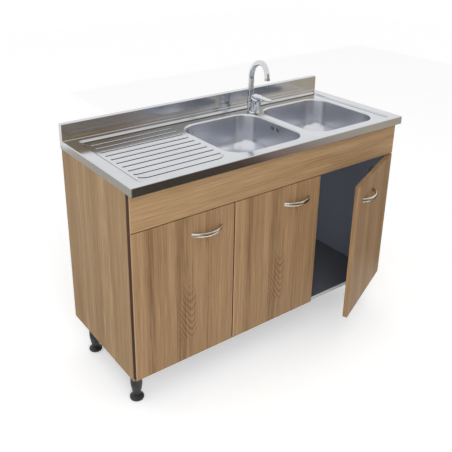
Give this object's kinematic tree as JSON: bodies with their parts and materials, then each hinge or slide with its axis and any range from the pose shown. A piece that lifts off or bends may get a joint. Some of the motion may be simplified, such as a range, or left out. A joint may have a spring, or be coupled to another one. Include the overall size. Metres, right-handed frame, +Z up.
{
  "type": "kitchen sink unit",
  "caption": "Free-standing sink unit: pressed steel top with drainer, two bowls and swivel mixer tap, on a base cabinet with three hinged doors and screw-in feet.",
  "frame": {"origin": "on the floor, at the middle of the box round the unit as it stands in the picture, right door ajar", "axes": "+X to the right along the worktop, -Y towards the person at the sink, +Z up"},
  "size_m": [1.2, 0.633, 1.0701],
  "materials": {
    "satin_steel": "satin pressed stainless steel",
    "chrome": "bright chrome plate",
    "oak_decor": "light oak decor on chipboard, fine matt grain",
    "slate_board": "slate grey melamine board",
    "underlay_board": "raw chipboard",
    "handle_metal": "satin nickel",
    "hinge_steel": "nickel-plated steel",
    "black_plastic": "black moulded plastic",
    "white_plastic": "white moulded plastic",
    "ceramic_cartridge": "pale plastic cartridge",
    "brass": "plain brass"
  },
  "bodies": {
    "unit": {"worktop": "satin_steel", "drainer_board": "underlay_board", "bowl_left": "satin_steel", "bowl_right": "satin_steel", "strainer_body_left": "satin_steel", "strainer_nut_left": "white_plastic", "strainer_body_right": "satin_steel", "strainer_nut_right": "white_plastic", "overflow_box": "white_plastic", "waste_pipe_left": "white_plastic", "waste_pipe_right": "white_plastic", "trap_body": "white_plastic", "trap_cup": "white_plastic", "waste_outlet": "white_plastic", "side_panel_left": "oak_decor", "side_panel_right": "oak_decor", "floor_panel": "slate_board", "rear_rail": "slate_board", "partition": "slate_board", "back_panel": "slate_board", "fascia": "oak_decor", "hinge_arm_left_lower": "hinge_steel", "hinge_arm_left_upper": "hinge_steel", "hinge_arm_middle_lower": "hinge_steel", "hinge_arm_middle_upper": "hinge_steel", "hinge_arm_right_lower": "hinge_steel", "hinge_arm_right_upper": "hinge_steel", "leg_front_left": "black_plastic", "leg_rear_left": "black_plastic", "leg_front_right": "black_plastic", "leg_rear_right": "black_plastic", "tap_base_ring": "chrome", "tap_body": "chrome", "tap_shank": "brass", "tap_nut": "brass", "cartridge": "ceramic_cartridge"},
    "left_door": {"door_left": "oak_decor", "handle_left": "handle_metal", "hinge_cup_left_lower": "hinge_steel", "hinge_cup_left_upper": "hinge_steel"},
    "middle_door": {"door_middle": "oak_decor", "handle_middle": "handle_metal", "hinge_cup_middle_lower": "hinge_steel", "hinge_cup_middle_upper": "hinge_steel"},
    "right_door": {"door_right": "oak_decor", "handle_right": "handle_metal", "hinge_cup_right_lower": "hinge_steel", "hinge_cup_right_upper": "hinge_steel"},
    "spout": {"spout": "chrome", "aerator": "chrome"},
    "lever_hub": {"lever_hub": "chrome"},
    "lever": {"lever": "chrome"},
    "strainer_basket_left": {"strainer_basket_left": "satin_steel"},
    "strainer_basket_right": {"strainer_basket_right": "satin_steel"},
    "foot_front_left": {"foot_front_left": "black_plastic"},
    "foot_front_right": {"foot_front_right": "black_plastic"},
    "foot_rear_left": {"foot_rear_left": "black_plastic"},
    "foot_rear_right": {"foot_rear_right": "black_plastic"}
  },
  "joints": [
    {"name": "door_left_hinge", "type": "hinge", "parent": "unit", "child": "left_door", "pos_m": [-0.5975, -0.15848, 0.41575], "axis": [0, 0, -1], "range_deg": [0, 110]},
    {"name": "door_middle_hinge", "type": "hinge", "parent": "unit", "child": "middle_door", "pos_m": [-0.19817, -0.15848, 0.41575], "axis": [0, 0, -1], "range_deg": [0, 110]},
    {"name": "door_right_hinge", "type": "hinge", "parent": "unit", "child": "right_door", "pos_m": [0.5975, -0.15848, 0.41575], "axis": [0, 0, 1], "range_deg": [-23.5, 86.5]},
    {"name": "spout_swivel", "type": "hinge", "parent": "unit", "child": "spout", "pos_m": [0.17, 0.22152, 0.895], "axis": [0, 0, 1], "range_deg": [-91, 129]},
    {"name": "lever_turn", "type": "hinge", "parent": "unit", "child": "lever_hub", "pos_m": [0.17, 0.19752, 0.851], "axis": [0, -0.2419, 0.9703], "range_deg": [-53, 37]},
    {"name": "lever_lift", "type": "hinge", "parent": "lever_hub", "child": "lever", "pos_m": [0.16736, 0.2016, 0.91241], "axis": [-0.9903, -0.135, -0.0337], "range_deg": [0, 25]},
    {"name": "basket_left_lift", "type": "slide", "parent": "unit", "child": "strainer_basket_left", "axis": [0, 0, 1], "range_m": [0, 0.15]},
    {"name": "basket_right_lift", "type": "slide", "parent": "unit", "child": "strainer_basket_right", "axis": [0, 0, 1], "range_m": [0, 0.15]},
    {"name": "foot_front_left_screw", "type": "slide", "parent": "unit", "child": "foot_front_left", "axis": [0, 0, -1], "range_m": [0, 0.012]},
    {"name": "foot_front_right_screw", "type": "slide", "parent": "unit", "child": "foot_front_right", "axis": [0, 0, -1], "range_m": [0, 0.012]},
    {"name": "foot_rear_left_screw", "type": "slide", "parent": "unit", "child": "foot_rear_left", "axis": [0, 0, -1], "range_m": [0, 0.012]},
    {"name": "foot_rear_right_screw", "type": "slide", "parent": "unit", "child": "foot_rear_right", "axis": [0, 0, -1], "range_m": [0, 0.012]}
  ]
}
